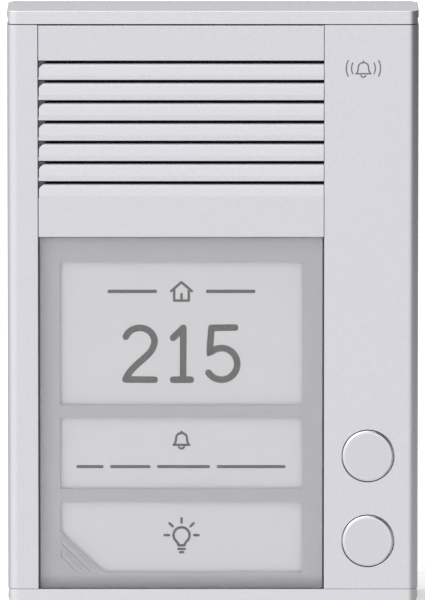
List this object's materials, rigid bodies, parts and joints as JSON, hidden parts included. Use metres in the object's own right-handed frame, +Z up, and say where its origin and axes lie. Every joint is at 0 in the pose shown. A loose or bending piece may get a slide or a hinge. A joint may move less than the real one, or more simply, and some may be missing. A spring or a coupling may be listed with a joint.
{
  "type": "door intercom panel",
  "caption": "Surface-mounted metal door intercom panel with a louvred speaker grille, a backlit name window and round call buttons beside it.",
  "frame": {"origin": "middle of the wall plate's back face, on the wall", "axes": "+Z up, +Y into the wall, +X to the right as the visitor sees the front"},
  "size_m": [0.1464, 0.0344, 0.2126],
  "materials": {
    "anodised_aluminium": "satin anodised",
    "louvre_aluminium": "satin anodised",
    "button_metal": "satin face, polished rim",
    "clear_plastic": "clear, satin front",
    "mask_grey": "silver-grey print",
    "label_card": "matt translucent film",
    "opal_plastic": "opal, diffusing",
    "zinc_steel": "zinc plated",
    "screw_steel": "stainless",
    "black_rubber": "matt",
    "black_plastic": "moulded, fine texture",
    "circuit_board": "solder mask",
    "led_white": "encapsulated",
    "paper_cone": "treated cone",
    "mesh_cloth": "woven, black",
    "magnet": "ferrite",
    "copper": "enamelled wire",
    "terminal_green": "moulded",
    "relay_plastic": "moulded",
    "transformer_core": "ferrite core with tape",
    "capacitor_can": "sleeved can",
    "chip_black": "moulded",
    "connector_white": "moulded",
    "brass_insert": "turned",
    "wire_red": "insulated"
  },
  "bodies": {
    "housing": {"housing_profile": "anodised_aluminium", "top_cap": "anodised_aluminium", "bottom_cap": "anodised_aluminium", "top_cap_gasket": "black_rubber", "bottom_cap_gasket": "black_rubber", "tie_bolts": "screw_steel", "wall_plate": "zinc_steel", "wall_seal": "black_rubber", "cable_entry_grommet": "black_rubber", "lock_screw": "screw_steel", "louvre_panel": "louvre_aluminium", "louvre_panel_screws": "screw_steel", "acoustic_mesh": "mesh_cloth", "speaker_gasket": "black_rubber", "speaker_frame": "black_plastic", "speaker_cone": "paper_cone", "voice_coil": "copper", "speaker_front_plate": "zinc_steel", "speaker_magnet": "magnet", "speaker_pole_piece": "zinc_steel", "speaker_tag_board": "circuit_board", "speaker_clamps": "black_plastic", "speaker_clamp_screws": "screw_steel", "house_number_label": "label_card", "bell_label": "label_card", "light_label": "label_card", "light_guide": "opal_plastic", "backlight_board": "circuit_board", "backlight_leds": "led_white", "backlight_screws": "screw_steel", "board_standoffs": "brass_insert", "board_screws": "screw_steel", "main_circuit_board": "circuit_board", "terminal_block": "terminal_green", "terminal_screws": "screw_steel", "opener_relay": "relay_plastic", "line_transformer": "transformer_core", "capacitors": "capacitor_can", "integrated_circuits": "chip_black", "board_link_header": "chip_black", "board_connectors": "connector_white", "button_carrier": "black_plastic", "carrier_studs": "screw_steel", "carrier_nuts": "screw_steel", "button_circuit_board": "circuit_board", "button_board_screws": "screw_steel", "upper_return_spring": "screw_steel", "lower_return_spring": "screw_steel", "switch_bodies": "chip_black", "microphone_boot": "black_rubber", "microphone_capsule": "capacitor_can", "speaker_leads": "wire_red", "microphone_leads": "wire_red", "button_leads": "wire_red"},
    "window": {"name_window": "clear_plastic", "mask_frame": "mask_grey"},
    "upper_button": {"upper_button_cap": "button_metal"},
    "lower_button": {"lower_button_cap": "button_metal"},
    "upper_switch": {"upper_switch_plunger": "connector_white"},
    "lower_switch": {"lower_switch_plunger": "connector_white"}
  },
  "joints": [
    {"name": "upper_button_press", "type": "slide", "parent": "housing", "child": "upper_button", "axis": [0, 1, 0], "range_m": [0, 0.0015], "stiffness_N_per_m": 600, "springref_m": -0.003, "deforming": ["upper_return_spring"]},
    {"name": "upper_switch_press", "type": "slide", "parent": "housing", "child": "upper_switch", "axis": [0, 1, 0], "range_m": [0, 0.0015]},
    {"name": "lower_button_press", "type": "slide", "parent": "housing", "child": "lower_button", "axis": [0, 1, 0], "range_m": [0, 0.0015], "stiffness_N_per_m": 600, "springref_m": -0.003, "deforming": ["lower_return_spring"]},
    {"name": "lower_switch_press", "type": "slide", "parent": "housing", "child": "lower_switch", "axis": [0, 1, 0], "range_m": [0, 0.0015]},
    {"name": "window_removal", "type": "slide", "parent": "housing", "child": "window", "axis": [0, -1, 0], "range_m": [0, 0.02]}
  ],
  "couplings": [
    {"joint": "upper_switch_press", "follows": "upper_button_press", "ratio": 1},
    {"joint": "lower_switch_press", "follows": "lower_button_press", "ratio": 1}
  ]
}
